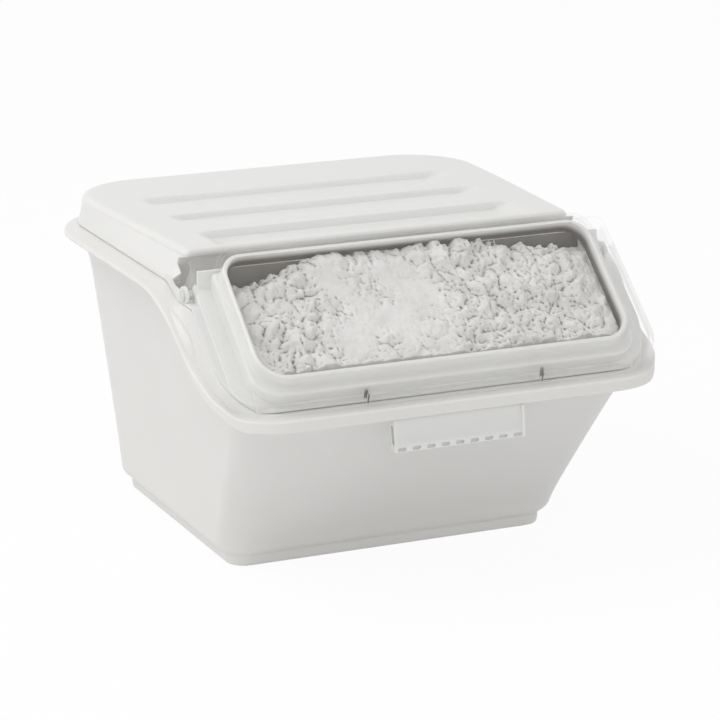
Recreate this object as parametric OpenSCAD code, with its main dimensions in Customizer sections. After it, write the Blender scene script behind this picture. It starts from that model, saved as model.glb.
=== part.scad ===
// Countertop ingredient bin with a see-through flip lid.
// Frame: +Z up, origin on the floor under the middle of the bounding box,
// front lip towards -Y, width along X, millimetres.

/* [Bin] */
// Half width of the plinth the bin stands on
plinth_half = 115.9; // [100:0.1:122]
// Front edge of the plinth, towards -Y
plinth_front = 70.4; // [60:0.1:74]
// Rear edge of the plinth, towards +Y
plinth_rear = 132.9; // [120:0.1:136]
// Height of the plinth step
plinth_h = 8; // [5:0.5:9]
// How far the rounded belly stands out past the plinth
belly_out = 9; // [6:0.5:10]
// Height at which the belly ends and the straight walls start
belly_h = 24; // [22:0.5:28]
// Sideways slope of the side walls, mm per mm of height
side_taper = 0.14; // [0.1:0.01:0.14]
// How far the lip overhangs the front wall
lip_over = 21.2; // [20:0.1:22]
// Rearward slope of the rear wall, mm per mm of height
rear_taper = 0.09; // [0.05:0.01:0.1]
// Wall thickness of the bin
wall = 2.6; // [2.2:0.1:3]

/* [Bin rim] */
// How far the rim flange stands out past the cover, each side
flange_out = 14; // [12:0.5:16]
// How far the rim lip reaches forward past the door
lip_reach = 3.6; // [3:0.1:5]
// Rear edge of the rim flange, towards +Y
flange_rear = 177; // [176:0.5:182]
// Drop from the cover's skirt edge to the underside of the flange
flange_drop = 5.5; // [5:0.1:6]
// Drop from the door's front edge to the underside of the lip
lip_drop = 27; // [26.5:0.1:28]
// Thickness of the flange at the sides and rear
flange_t = 3.2; // [3:0.1:3.6]
// Height of the front lip face
lip_t = 8.6; // [8:0.1:8.7]
// Width of the flat flange outside the collar foot
flange_flat = 6; // [5:0.1:7]
// Thickness of the collar that carries the top cover
collar_t = 2.3; // [2.1:0.1:2.3]
// Height the collar stands above the lip at the front
collar_rise = 1.2; // [0.8:0.1:1.4]

/* [Top cover] */
// Gap between the cover edge and the collar under it
seat_gap = 0.4; // [0.3:0.05:0.5]
// Height of the flat top
cover_z = 216; // [215:0.5:217]
// Height of the cover from its skirt edge to its flat top
cover_h = 19.5; // [19:0.1:20]
// Half width of the cover at its skirt edge
cover_half = 152; // [151.5:0.1:152.2]
// How far the flat top draws in from the skirt at the front, each side
shoulder_front = 13.5; // [12:0.5:15]
// How far the flat top draws in from the skirt at the rear, each side
shoulder_rear = 5; // [4:0.5:7]
// Rear edge of the flat top, towards +Y
top_rear = 162; // [160:0.5:163]
// Front edge of the flat top, towards -Y
top_front = 51.5; // [50.5:0.1:51.5]
// Wall thickness of the cover
cover_t = 2.4; // [2.2:0.1:2.6]
// Thickness of the cover edge that sits on the collar
band_t = 1.8; // [1.4:0.1:2]
// Rounding of the upper edge of the cover
edge_r = 5; // [4:0.5:6]
// Distance from the ends of the three sunk steps to the side of the cover
step_inset = 35; // [32:1:40]
// Distance between the steps, front to rear
step_pitch = 53; // [50:0.5:54]
// Depth of the two rear steps
step_depth = 4; // [3:0.1:5]
// Depth of the front step
front_step_depth = 5; // [4:0.1:5]

/* [Slope] */
// Angle of the sloping front below the horizontal, degrees
slope = 39.9; // [39.5:0.1:40.2]
// How far the top edge of the opening stands above the flat top
slope_rise = 2.8; // [2.5:0.1:3]
// Distance of the top edge of the opening from the middle, towards -Y
slope_top_y = 91.7; // [91.5:0.1:92]
// Distance from the opening to the door's fold, each side
side_land = 20.2; // [20:0.1:26]
// Distance from the front of the opening to the door's fold
front_land = 12.9; // [12.7:0.1:16]
// Corner radius of the opening
open_r = 18; // [14:0.5:22]
// Width of the raised rim round the opening
rim_w = 3; // [2.4:0.1:3.1]
// Width of the land outside the raised rim, each side
rim_land = 3.5; // [3:0.1:5]
// Depth of the side shelves below the rim
shelf_drop = 19.5; // [19:0.1:20]

/* [Flip door] */
// Depth of the door flange below the rim
door_drop = 6; // [5.5:0.1:6.2]
// How far the door's fold sits inside the cover's side
door_inset = 2.5; // [2.4:0.1:2.7]
// Length of the door down the slope, from the opening's top edge
door_len = 106.5; // [106:0.1:107]
// How far the door reaches above the opening's top edge
door_back = 6.5; // [6:0.1:6.8]
// Wall thickness of the door
door_t = 2; // [1.8:0.05:2.2]
// Depth of the door skirt below its fold
door_skirt = 13; // [12.5:0.1:13.2]
// How far the skirt flares out
door_flare = 4.5; // [4:0.1:4.8]
// Height of the raised window above the door flange
window_h = 8.9; // [8.8:0.05:9]
// Gap between the raised rim and the window around it
window_gap = 0.6; // [0.4:0.05:0.8]
// Half width of the finger tab between its two slits
tab_half = 62; // [50:0.5:70]
// How far the finger tab stands forward of the skirt
tab_out = 3.5; // [3:0.1:3.8]
// Width of each slit beside the finger tab
slit_w = 1.2; // [0.8:0.1:1.6]

/* [Hinge] */
// Distance of the hinge axis from the middle, towards -Y
hinge_y = 80.5; // [80.2:0.1:80.8]
// Depth of the hinge axis below the flat top
hinge_drop = 22.5; // [22.3:0.1:22.7]
// Diameter of the hinge pins
pin_d = 6; // [5:0.1:6.5]
// Running clearance of the pin in the door lug, on the radius
pin_clear = 0.08; // [0.05:0.01:0.1]
// Depth of the hinge channel below the hinge axis, which stops the open door
trough_drop = 10; // [9.8:0.1:10.4]
// Radius of the door lugs round the pins
lug_r = 6.8; // [6.4:0.1:7]
// Thickness of the door lugs
lug_t = 2.6; // [2.2:0.1:2.6]
// Thickness of the ears on the cover that carry the pins
ear_t = 2.1; // [2:0.1:2.1]
// Sideways gap between a lug and its ear
ear_gap = 0.5; // [0.4:0.05:0.5]

/* [Label pocket] */
// Half width of the label pocket under the lip
label_half = 46; // [40:1:52]
// Distance from the lip's underside down to the lower edge of the label pocket
label_drop = 22; // [20:0.5:24]
// How far the lower edge of the label plate stands behind the lip's front
label_back = 1.4; // [1.3:0.1:2]
// How far the label plate leans forward over its height
label_lean = 2.4; // [1.5:0.1:3]
// Depth of the label pocket, front to back
label_depth = 6; // [5.5:0.1:6.5]
// Thickness of the walls of the label pocket
label_t = 1.4; // [1.2:0.1:1.6]
// Depth of the foot that holds the pocket under the lip
label_foot = 10; // [8:0.5:10]
// Gap between the foot and the lip, taken up by its adhesive
label_gap = 0.1; // [0.05:0.05:0.3]
// Number of slots along the lower edge
label_slots = 9; // [5:1:10]

/* [Hidden] */
$fn = 48;
eps = 0.02;
corner_n = 7;
side_n = 26;
end_n = 4;
skirt_z = cover_z - cover_h;
flange_z = skirt_z - flange_drop;
hinge_z = cover_z - hinge_drop;
slope_top_z = cover_z + slope_rise;
flange_half = cover_half + flange_out;
top_half_front = cover_half - shoulder_front;
top_half_rear = cover_half - shoulder_rear;
step_half = cover_half - step_inset;
door_half = cover_half - door_inset;
open_half = door_half - side_land;
open_len = door_len - front_land;
lip_front = slope_top_y + door_len * cos(slope) + lip_reach;
lip_z = slope_top_z - door_len * sin(slope) - lip_drop;
label_low = lip_z - label_drop;
far = 2 * flange_half;
lug_in = cover_half - ear_t - ear_gap - lug_t;
wall_front0 = plinth_front + belly_out;
wall_rear0 = plinth_rear + belly_out - 3;
wall_half0 = plinth_half + belly_out;
front_taper = (lip_front - lip_over - wall_front0) / (lip_z - belly_h);
collar_out = cover_half + 0.2;
collar_front = lip_front - 14.2;
cover_rear = top_rear + 5;

// Linear interpolation in a table of [x, y] rows sorted by falling x.
function step_in(v, a, b) = max(0, min(1, (v - a) / (b - a)));
function ease(v, a, b) = let (t = step_in(v, a, b)) t * t * (3 - 2 * t);
function mix(a, b, t) = a + (b - a) * t;

// Half an outline: front middle, front corner, side, rear corner, rear middle.
function half_outline(h, f, r, cf, cr, sn) = concat(
    [for (i = [0 : end_n - 1]) [(h - cf) * i / end_n, -f]],
    [for (i = [0 : corner_n]) let (a = -90 + 90 * i / corner_n)
        [h - cf + cf * cos(a), -f + cf + cf * sin(a)]],
    [for (i = [1 : sn - 1]) [h, mix(-f + cf, r - cr, i / sn)]],
    [for (i = [0 : corner_n]) let (a = 90 * i / corner_n)
        [h - cr + cr * cos(a), r - cr + cr * sin(a)]],
    [for (i = [end_n - 1 : -1 : 0]) [(h - cr) * i / end_n, r]]);
// A closed outline from its right half; first and last points lie on X = 0.
function closed(half) = concat(half,
    [for (i = [len(half) - 2 : -1 : 1]) [-half[i][0], half[i][1]]]);
function outline(h, f, r, cf, cr, sn = side_n) = closed(half_outline(h, f, r, cf, cr, sn));

// Skin of stacked rings of 3-D points, closed at both ends by a fan.
module skin(rings) {
    m = len(rings);
    n = len(rings[0]);
    pts = concat([for (r = rings) each r], [mid(rings[0]), mid(rings[m - 1])]);
    faces = concat(
        [for (k = [0 : m - 2]) for (i = [0 : n - 1]) let (j = (i + 1) % n)
            each [[k * n + i, (k + 1) * n + i, (k + 1) * n + j], [k * n + i, (k + 1) * n + j, k * n + j]]],
        [for (i = [0 : n - 1]) [m * n, i, (i + 1) % n]],
        [for (i = [0 : n - 1]) [m * n + 1, (m - 1) * n + (i + 1) % n, (m - 1) * n + i]]);
    polyhedron(points = pts, faces = faces, convexity = 6);
}
function mid(ring) = (ring[0] + ring[floor(len(ring) / 2)]) / 2;
// Band whose cross-section is the closed run of rings.
module band(rings) {
    m = len(rings);
    n = len(rings[0]);
    faces = [for (k = [0 : m - 1]) for (i = [0 : n - 1])
        let (j = (i + 1) % n, l = (k + 1) % m)
        each [[k * n + i, l * n + i, l * n + j], [k * n + i, l * n + j, k * n + j]]];
    polyhedron(points = [for (r = rings) each r], faces = faces, convexity = 6);
}

// Points on the slope: u runs down the slope, t stands off it.
function slope_y(u, t) = -slope_top_y - u * cos(slope) - t * sin(slope);
function slope_z(u, t) = slope_top_z - u * sin(slope) + t * cos(slope);
// Height of the plane at stand-off t above a given y.
function slope_at(y, t) = let (u = (-slope_top_y - t * sin(slope) - y) / cos(slope)) slope_z(u, t);
module on_slope() translate([0, -slope_top_y, slope_top_z]) rotate([slope, 0, 0]) children();

// Underside and top of the flange over its S-shaped run from rear to front.
s_run = [[200, 0], [-32, 0.001], [-45, 0.012], [-56, 0.04], [-67, 0.1], [-78, 0.19], [-85.5, 0.26],
    [-92.5, 0.36], [-98.5, 0.455], [-104, 0.54], [-110, 0.615], [-116, 0.672], [-124, 0.73],
    [-136, 0.8], [-150, 0.885], [-158, 0.955], [-164, 1], [-180, 1]];
s_table = [for (r = s_run) [-r[0], r[1]]];
function s_share(y) = lookup(-y * 177 / lip_front, s_table);
function flange_lo(y) = mix(flange_z, lip_z, s_share(y));
function flange_hi(y) = flange_lo(y) + mix(flange_t, lip_t, pow(s_share(y), 1.5));
// Inner outlines level out towards the front with the lip.
function level(y, front) = y - (lip_front - front) * ease(-y, lip_front - 65, front);
// The flange draws in as it comes down, like the walls.
function flange_x(x, y) = x - sign(x) * min(abs(x), 9 * s_share(y));

// Top of the collar: level at the rear, dipping at the hinge, down the slope.
function collar_z(y) = min(
    mix(skirt_z - seat_gap, skirt_z - 9.3, ease(-y, 48, 72)),
    slope_at(y, -22));

function wall_ring(z) = outline(wall_half0 + side_taper * (z - belly_h),
    wall_front0 + front_taper * (z - belly_h), wall_rear0 + rear_taper * (z - belly_h),
    16.2 + 0.085 * z, 22 + 0.13 * z);
// A wall outline grown by g, used where the height follows the flange.
function wall_pt(i, z, g) = let (a = outline(wall_half0 + side_taper * (z - belly_h) + g,
    wall_front0 + front_taper * (z - belly_h) + g, wall_rear0 + rear_taper * (z - belly_h) + g,
    16.2 + 0.085 * z + g, 22 + 0.13 * z + g)) [a[i][0], a[i][1], z];
function flat_ring(o, z) = [for (p = o) [p[0], p[1], z]];

flange_line = outline(flange_half, lip_front, flange_rear, 42, 78);
flange_in = outline(flange_half - 1, lip_front - 1, flange_rear - 1, 41, 77);
crease_line = outline(flange_half - flange_flat, collar_front + 2.7, flange_rear - 5, 36, 73);
collar_line = outline(collar_out, collar_front, cover_rear + 0.2, 35, 53);
collar_inner = outline(collar_out - collar_t, collar_front - collar_t, cover_rear + 0.2 - collar_t, 33, 51);
function on_flange(o, dz) = [for (p = o) let (y = level(p[1], -o[0][1]))
    [flange_x(p[0], p[1]), p[1], flange_hi(y) + dz * (1 - s_share(p[1]))]];
function under_flange(o, dz) = [for (i = [0 : len(o) - 1]) [flange_x(o[i][0], o[i][1]), o[i][1],
    flange_lo(flange_line[i][1]) + dz]];
// The walls flare into the flange sooner at the front, so dz shrinks there.
function wall_under(g, dz) = [for (i = [0 : len(flange_line) - 1]) let (y = flange_line[i][1])
    wall_pt(i, flange_lo(y) + dz * mix(1, 0.62, s_share(y)), g)];
function seat_z(y) = max(collar_z(y), flange_hi(level(y, collar_front)) + collar_rise);
function collar_ring(o, dz) = [for (p = o) [p[0], p[1], seat_z(p[1]) + dz]];

module tub() {
    color("white") skin([
        flat_ring(outline(plinth_half - 2, plinth_front - 2, plinth_rear - 2, 12, 12), 0),
        flat_ring(outline(plinth_half - 0.6, plinth_front - 0.6, plinth_rear - 0.6, 13, 13), 0.6),
        flat_ring(outline(plinth_half, plinth_front, plinth_rear, 14, 14), 2),
        flat_ring(outline(plinth_half + 0.4, plinth_front + 0.4, plinth_rear + 0.3, 14, 14), plinth_h),
        flat_ring(outline(plinth_half + 2.2, plinth_front + 2.2, plinth_rear + 1.8, 16, 16), plinth_h + 1.3),
        flat_ring(outline(mix(plinth_half, wall_half0, 0.68), mix(plinth_front, wall_front0, 0.5),
            mix(plinth_rear, wall_rear0, 0.62), 16.5, 18), plinth_h + 4),
        flat_ring(outline(mix(plinth_half, wall_half0, 0.9), mix(plinth_front, wall_front0, 0.74),
            mix(plinth_rear, wall_rear0, 0.86), 17.5, 20), plinth_h + 9),
        flat_ring(wall_ring(belly_h), belly_h),
        wall_under(0, -22),
        wall_under(1.2, -14),
        wall_under(4.6, -8),
        wall_under(10, -4),
        under_flange(flange_in, 0),
        under_flange(flange_line, 1),
        [for (p = flange_line) [flange_x(p[0], p[1]), p[1], flange_hi(p[1]) - 1]],
        on_flange(flange_in, 0),
        on_flange(crease_line, 0.6),
        collar_ring(collar_line, 0),
        collar_ring(collar_inner, 0),
        [for (p = collar_inner) [p[0], p[1], flange_hi(level(p[1], -collar_inner[0][1])) - 2]],
        wall_under(5 - wall, -6.4),
        wall_under(1.2 - wall, -13),
        wall_under(-wall, -22),
        [for (p = outline(wall_half0 - wall, wall_front0 - wall, wall_rear0 - wall, 16, 22)) [p[0], p[1], belly_h]],
        flat_ring(outline(plinth_half - 1, plinth_front - 0.5, plinth_rear - 1, 14, 14), plinth_h + 3),
        flat_ring(outline(plinth_half - 5, plinth_front - 4.5, plinth_rear - 5, 12, 12), wall + 0.6),
        flat_ring(outline(plinth_half - 9, plinth_front - 8.5, plinth_rear - 9, 10, 10), wall)]);
}

// Flat top of the cover: wider at the rear than at the front.
function top_outline(g) = let (a = outline(top_half_rear, top_front, top_rear, 5, 47, 10))
    [for (p = a) let (k = mix(top_half_front / top_half_rear, 1, ease(p[1], -90, top_rear - 40)))
        [p[0] * k * (1 + g / top_half_rear), p[1] + (p[1] > 0 ? g : -g) * step_in(abs(p[1]), 0, 40)]];
skirt_line = outline(cover_half, top_front + 9.5, cover_rear, 8, 53, 10);
function skirt_mix(g, v, z) = let (a = top_outline(g))
    [for (i = [0 : len(a) - 1]) [mix(skirt_line[i][0] + sign(skirt_line[i][0]) * min(g, 0), a[i][0], v),
        mix(skirt_line[i][1] + sign(skirt_line[i][1]) * min(g, 0), a[i][1], v), z]];
function dome(g, dz) = [
    skirt_mix(g, 0, skirt_z + (g < 0 ? -eps : 0)),
    skirt_mix(g, 0.5, mix(skirt_z, cover_z - edge_r + 1, 0.5) + dz),
    skirt_mix(g + 1, 1, cover_z - edge_r + 1 + dz),
    skirt_mix(g + 0.6, 1, cover_z - edge_r * 0.42 + dz),
    skirt_mix(g - 0.6, 1, cover_z - edge_r * 0.14 + dz),
    skirt_mix(g - 3, 1, cover_z + dz)];

// One sunk step: deepest at its rear wall, rising to the top at its front.
module sunk_step(y, run, deep, fore, grow) {
    function floor_z(v) = mix(cover_z - deep, cover_z - fore, (y - v) / run);
    skin([
        [for (p = outline(step_half - 16 + grow, run / 2 - 1 + grow, run / 2 - 1.5 + grow, 9 + grow, 9 + grow, 4))
            [p[0], p[1] + y - run / 2, floor_z(p[1] + y - run / 2) - grow]],
        [for (p = outline(step_half + grow, run / 2 + grow, run / 2 + grow, 13 + grow, 13 + grow, 4))
            [p[0], p[1] + y - run / 2, cover_z + (grow > 0 ? -0.3 : 0.4)]]]);
}
module sunk_steps(grow) {
    rear_y = top_rear - 65;
    for (i = [0, 1])
        sunk_step(rear_y - i * step_pitch, 38, step_depth, 0, grow);
    sunk_step(rear_y - 2 * step_pitch, 60, front_step_depth, front_step_depth - 0.6, grow);
}

module along_x(half) translate([half, 0, 0]) rotate([0, -90, 0]) linear_extrude(2 * half) children();
// A side-view outline given as [y, z], drawn for along_x.
module side_view(p) polygon([for (q = p) [q[1], q[0]]]);

trough_r = 33.2;
trough_half = wall_half0 + side_taper * (hinge_z - 11.5 - belly_h) - wall - 0.5;
trough_wall_y = hinge_y + 3.7;
trough_floor = hinge_z - trough_drop;
module trough() {
    wall_t = 2.2;
    a0 = -asin((hinge_z - trough_floor) / trough_r);
    a1 = 33;
    inner = [for (i = [0 : 14]) let (a = mix(a0, a1, i / 14)) [-hinge_y + trough_r * cos(a), hinge_z + trough_r * sin(a)]];
    outer = [for (i = [14 : -1 : 0]) let (a = mix(a0, a1, i / 14))
        [-hinge_y + (trough_r + wall_t) * cos(a), hinge_z + (trough_r + wall_t) * sin(a) - wall_t * 0.5]];
    along_x(trough_half) side_view(concat(
        [[-trough_wall_y - wall_t, slope_z(3, -9.4)], [-trough_wall_y, slope_z(3, -9.4)], [-trough_wall_y, trough_floor]],
        inner, outer,
        [[outer[14][0], trough_floor - wall_t], [-trough_wall_y - wall_t, trough_floor - wall_t]]));
}

land_t = -door_drop - door_t - 0.8;
frame_half = door_half - 3.2;
neck_half = open_half + rim_w + rim_land;
frame_front = door_len - 3.1;
frame_wall = 2.2;
module prism(h, f, r, cf, cr, t0, t1) translate([0, 0, t0]) linear_extrude(t1 - t0)
    polygon(outline(h, f, r, cf, cr, 2));

// Sloping front of the cover: raised rim, flat land round it, side walls and shelves.
module slope_frame() {
    on_slope() difference() {
        union() {
            prism(open_half + rim_w, open_len + rim_w + 0.4, 2.2, open_r + rim_w, open_r - 2, land_t - 2.4, 0);
            prism(neck_half, frame_front, -4.5, 18, 0.5, land_t - 2.4, land_t);
            difference() {
                union() {
                    prism(neck_half, frame_front, -4.5, 18, 0.5, -27, land_t);
                    prism(frame_half, frame_front, -4.5, 18, 0.5, -27, -shelf_drop);
                }
                prism(neck_half - frame_wall, frame_front - frame_wall, 2, 16, 0.5, -27.1, land_t + 0.1);
                prism(frame_half - frame_wall, frame_front - frame_wall, 2, 16, 0.5, -27.1, -shelf_drop - frame_wall);
            }
        }
        prism(open_half, open_len, 0, open_r, open_r - 3, -28, 1);
        translate([-far / 2, -rim_w / 5, -rim_w / 3]) cube([far, 3 * rim_w, rim_w]);
    }
}

// Everything at and outside the collar, up to the gap over its top.
module collar_space() {
    o = outline(flange_half + 20, lip_front + 20, flange_rear + 20, 50, 80);
    n = outline(collar_out - collar_t - seat_gap, collar_front - collar_t - seat_gap,
        cover_rear - collar_t - seat_gap, 33, 51);
    band([
        [for (p = n) [p[0], p[1], 60]],
        [for (p = o) [p[0], p[1], 60]],
        [for (i = [0 : len(o) - 1]) [o[i][0], o[i][1], seat_z(n[i][1]) + seat_gap]],
        [for (p = n) [p[0], p[1], seat_z(p[1]) + seat_gap]]]);
}

// Edge of the cover that follows the collar all the way round.
module seat_band() {
    o = outline(cover_half, collar_front - 0.3, cover_rear, 35, 53);
    n = outline(frame_half - frame_wall, collar_front - 6.2, cover_rear - 7, 29, 47);
    function edge_z(y) = seat_z(y) + seat_gap + 0.2 * s_share(y);
    band([
        [for (p = o) [p[0], p[1], edge_z(p[1])]],
        [for (p = o) [p[0], p[1], edge_z(p[1]) + band_t]],
        [for (p = n) [p[0], p[1], edge_z(p[1]) + band_t]],
        [for (p = n) [p[0], p[1], edge_z(p[1])]]]);
}

ear_r = pin_d / 2 + 3;
ear_rear = 36.5 - hinge_y;
module ears() {
    for (m = [0, 1]) mirror([m, 0, 0]) translate([cover_half, 0, 0]) rotate([0, -90, 0]) linear_extrude(ear_t) {
        translate([hinge_z, -hinge_y]) circle(ear_r);
        side_view(concat(
            [for (i = [0 : 10]) let (y = mix(-hinge_y - 3, ear_rear, i / 10)) [y, seat_z(y) + seat_gap]],
            [[ear_rear, skirt_z + 3], [ear_rear - 12, skirt_z + 2.4], [ear_rear - 18, skirt_z - 0.6], [-hinge_y + 3, hinge_z + 1], [-hinge_y - 3, hinge_z - 1]]));
    }
}
module hinge_bore(d, from, to) for (m = [0, 1]) mirror([m, 0, 0])
    translate([from, -hinge_y, hinge_z]) rotate([0, 90, 0]) cylinder(d = d, h = to - from);

module top_cover() {
    color("white") difference() {
        union() {
            difference() {
                union() {
                    difference() {
                        skin(dome(0, 0));
                        skin(dome(-cover_t, -cover_t));
                    }
                    intersection() {
                        sunk_steps(cover_t);
                        skin(dome(-0.4, -0.4));
                    }
                    seat_band();
                }
                sunk_steps(0);
                translate([0, -hinge_y, hinge_z]) rotate([0, 90, 0]) cylinder(r = trough_r, h = 2 * trough_half, center = true);
                intersection() {
                    translate([0, -hinge_y, hinge_z]) rotate([0, 90, 0])
                        cylinder(r = 25.2, h = 2 * (cover_half - ear_t), center = true);
                    translate([-far / 2, -trough_wall_y, trough_floor]) cube([far, far / 2, far / 2]);
                }
            }
            trough();
            difference() {
                slope_frame();
                collar_space();
                for (m = [0, 1]) mirror([m, 0, 0]) translate([neck_half - frame_wall - 0.1, -trough_wall_y - 1, trough_floor])
                    cube([trough_half - neck_half + frame_wall, far / 4, far / 4]);
            }
            ears();
        }
        hinge_bore(pin_d + 0.1, cover_half - ear_t - 0.5, cover_half + 1);
        hinge_bore(2 * lug_r + 1, frame_half + 0.01, cover_half - ear_t);
    }
}

// Door outlines at the fold, the skirt edge and the window.
function door_ring(g, flare, z) = [for (p = outline(door_half + flare + g, door_len + flare + g,
    door_back + flare + g, 20 + flare + g, 6 + g, 3)) [p[0], p[1], z]];
function window_ring(g, z) = [for (p = outline(open_half + rim_w + window_gap + door_t + g,
    open_len + rim_w + window_gap + door_t + 3.5 + g, door_back + g, open_r + 4 + g, open_r - 4 + g, 3)) [p[0], p[1], z]];
module door_tab() along_x(tab_half) side_view([[-door_len + 4, -door_drop], [-door_len - tab_out, -door_drop],
    [-door_len - tab_out - 4, -door_drop - door_skirt + 2.1], [-door_len - tab_out - 2, -door_drop - door_skirt + 2.1],
    [-door_len - tab_out + 1.8, -door_drop - door_t], [-door_len + 4, -door_drop - door_t]]);

module flip_door() {
    win = window_h - door_drop;
    color("lightcyan", 0.4) difference() {
        union() {
            on_slope() difference() {
                union() {
                    difference() {
                        skin([door_ring(0, door_flare, -door_drop - door_skirt),
                            door_ring(0, 1, -door_drop - 2.5), door_ring(-0.3, 0.3, -door_drop - 0.7),
                            door_ring(-1, 0, -door_drop)]);
                        skin([door_ring(-door_t, door_flare + 0.1, -door_drop - door_skirt - 0.1),
                            door_ring(-door_t, 0.6, -door_drop - door_t)]);
                        translate([-far / 2, -2 * door_back, -door_drop - door_skirt - 1]) cube([far, far / 2, door_skirt - door_t + 1]);
                        for (m = [0, 1]) mirror([m, 0, 0]) translate([door_half - 0.3, -2 * door_back, -door_skirt - 7]) cube([20, far / 2, 30]);
                    }
                    skin([window_ring(0, -door_drop - 0.5), window_ring(-0.8, win - 2),
                        window_ring(-1.4, win - 0.6), window_ring(-2.6, win)]);
                    door_tab();
                }
                skin([window_ring(-door_t, -door_drop - door_t - 0.1), window_ring(-door_t - 0.6, win - door_t + 0.2)]);
                for (s = [-1, 1]) translate([s * (tab_half + slit_w / 2) - slit_w / 2, -door_len - 20, -door_drop - door_skirt - 2])
                    cube([slit_w, 22.5, door_skirt + 1]);
            }
            for (m = [0, 1]) mirror([m, 0, 0]) translate([lug_in, 0, 0]) {
                translate([0, -hinge_y, hinge_z]) rotate([0, 90, 0]) cylinder(r = lug_r, h = lug_t);
                on_slope() translate([lug_t, 0, 0]) rotate([0, -90, 0]) linear_extrude(lug_t)
                    side_view([[-0.6, -26], [-0.6, -door_drop - 1], [-17, -door_drop - 1], [-14, -22], [-10, -31]]);
            }
        }
        hinge_bore(pin_d + 2 * pin_clear, lug_in - 1, lug_in + lug_t + 1);
    }
}

module hinge_pin(side) color("gainsboro") mirror([side < 0 ? 1 : 0, 0, 0])
    translate([0, -hinge_y, hinge_z]) rotate([0, 90, 0]) {
        translate([0, 0, lug_in - 0.3]) cylinder(d = pin_d, h = cover_half - lug_in + 0.4);
        translate([0, 0, cover_half]) cylinder(d = pin_d + 2, h = 1.4);
    }

// Pocket under the lip that takes a label from its left end, slotted along its lower bar.
module label_holder() {
    bar = 5;
    low_y = label_back - lip_front;
    top_y = low_y + label_lean;
    foot_y = top_y + label_foot;
    run = lip_over - 11 + 2.5 * front_taper;
    function under_z(y) = lip_z - 2.5 * (lip_front - 1 + y) / run - label_gap;
    pitch = 2 * label_half / label_slots;
    color("whitesmoke") difference() {
        union() {
            along_x(label_half) side_view([[low_y, label_low], [top_y, under_z(top_y)], [foot_y, under_z(foot_y)],
                [foot_y, under_z(foot_y) - label_t], [top_y + label_depth, under_z(foot_y) - label_t - 1], [low_y + label_depth, label_low]]);
            translate([label_half - 1, 0, 0]) along_x(1)
                side_view([[low_y - 1.2, label_low], [top_y - 1.2, under_z(top_y)], [top_y + 1, under_z(top_y + 1)], [low_y + 1, label_low]]);
        }
        translate([-2 * label_t, 0, 0]) along_x(label_half) side_view([[low_y + label_t, label_low + bar],
            [top_y + label_t, under_z(foot_y) - 2 * label_t], [top_y + label_depth - label_t, under_z(foot_y) - 2 * label_t],
            [low_y + label_depth - label_t, label_low + bar]]);
        for (i = [0 : label_slots - 1])
            translate([pitch * (i + 0.5) - label_half - pitch * 0.28, low_y - 2, label_low + bar * 0.24])
                cube([pitch * 0.56, label_depth + 0.4, bar * 0.5]);
    }
}

tub();
top_cover();
flip_door();
hinge_pin(-1);  // hinge_pin_left
hinge_pin(1);  // hinge_pin_right
label_holder();
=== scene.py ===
import math
import bpy
import numpy as np
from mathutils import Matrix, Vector, noise


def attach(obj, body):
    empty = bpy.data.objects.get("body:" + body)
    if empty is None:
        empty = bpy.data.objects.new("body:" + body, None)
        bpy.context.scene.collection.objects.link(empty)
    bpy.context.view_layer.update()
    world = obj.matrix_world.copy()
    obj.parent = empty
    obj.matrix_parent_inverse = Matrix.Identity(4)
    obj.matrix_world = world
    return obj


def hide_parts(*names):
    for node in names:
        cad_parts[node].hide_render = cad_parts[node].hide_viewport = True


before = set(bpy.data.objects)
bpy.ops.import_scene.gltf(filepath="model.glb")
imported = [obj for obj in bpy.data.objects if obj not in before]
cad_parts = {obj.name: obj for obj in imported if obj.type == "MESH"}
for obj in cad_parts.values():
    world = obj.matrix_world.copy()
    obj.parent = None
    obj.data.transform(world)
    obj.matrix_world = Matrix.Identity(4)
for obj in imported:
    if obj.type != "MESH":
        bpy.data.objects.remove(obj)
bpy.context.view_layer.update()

# ---- sizes of the part, in millimetres, from its source (flange half width 0.03 less, lip rounded) ----
COVER_HALF, COVER_Z, SKIRT_Z, COVER_T = 152.0, 216.0, 196.5, 2.4
TOP_FRONT, TOP_REAR, TOP_HALF_F, TOP_HALF_R = 51.5, 162.0, 138.5, 147.0
FLANGE_HALF, LIP_FRONT, FLANGE_REAR = 165.97, 177.0, 177.0
FLANGE_Z, LIP_Z, FLANGE_T, LIP_T = 191.0, 123.5, 3.2, 8.6
SLOPE, SLOPE_Z, SLOPE_Y = math.radians(39.9), 218.8, 91.7
OPEN_HALF, OPEN_LEN, OPEN_R, RIM_W = 129.3, 93.6, 18.0, 3.0
DROP, DOOR_HALF, DOOR_LEN, DOOR_BACK, DOOR_T, SKIRT, FLARE = 6.0, 149.5, 106.5, 6.5, 2.0, 13.0, 4.5
WIN_H, WIN_GAP, TAB_HALF, TAB_OUT, SLIT_W = 8.9, 0.6, 62.0, 3.5, 1.2
HINGE_Y, HINGE_Z, PIN_D, LUG_R, LUG_T, EAR_T = 80.5, 193.5, 6.0, 6.8, 2.6, 2.1
COLLAR_FRONT, COLLAR_T, SEAT_GAP, BAND_T = LIP_FRONT - 14.2, 2.3, 0.4, 1.8
WALL_F0, WALL_R0, WALL_H0, BELLY_H, WALL, LIP_OVER = 79.4, 138.9, 124.9, 24.0, 2.6, 21.2
FRONT_SLOPE = (LIP_FRONT - LIP_OVER - WALL_F0) / (LIP_Z - BELLY_H)
SIDE_SLOPE, REAR_SLOPE = 0.14, 0.09
COVER_REAR = TOP_REAR + 5
EAR_GAP, EAR_PLAY, PIN_PLAY = 0.5, 0.05, 0.08
LUG_IN = COVER_HALF - EAR_T - EAR_GAP - LUG_T
HUB = (-HINGE_Y, HINGE_Z)
MM = 0.001
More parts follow.
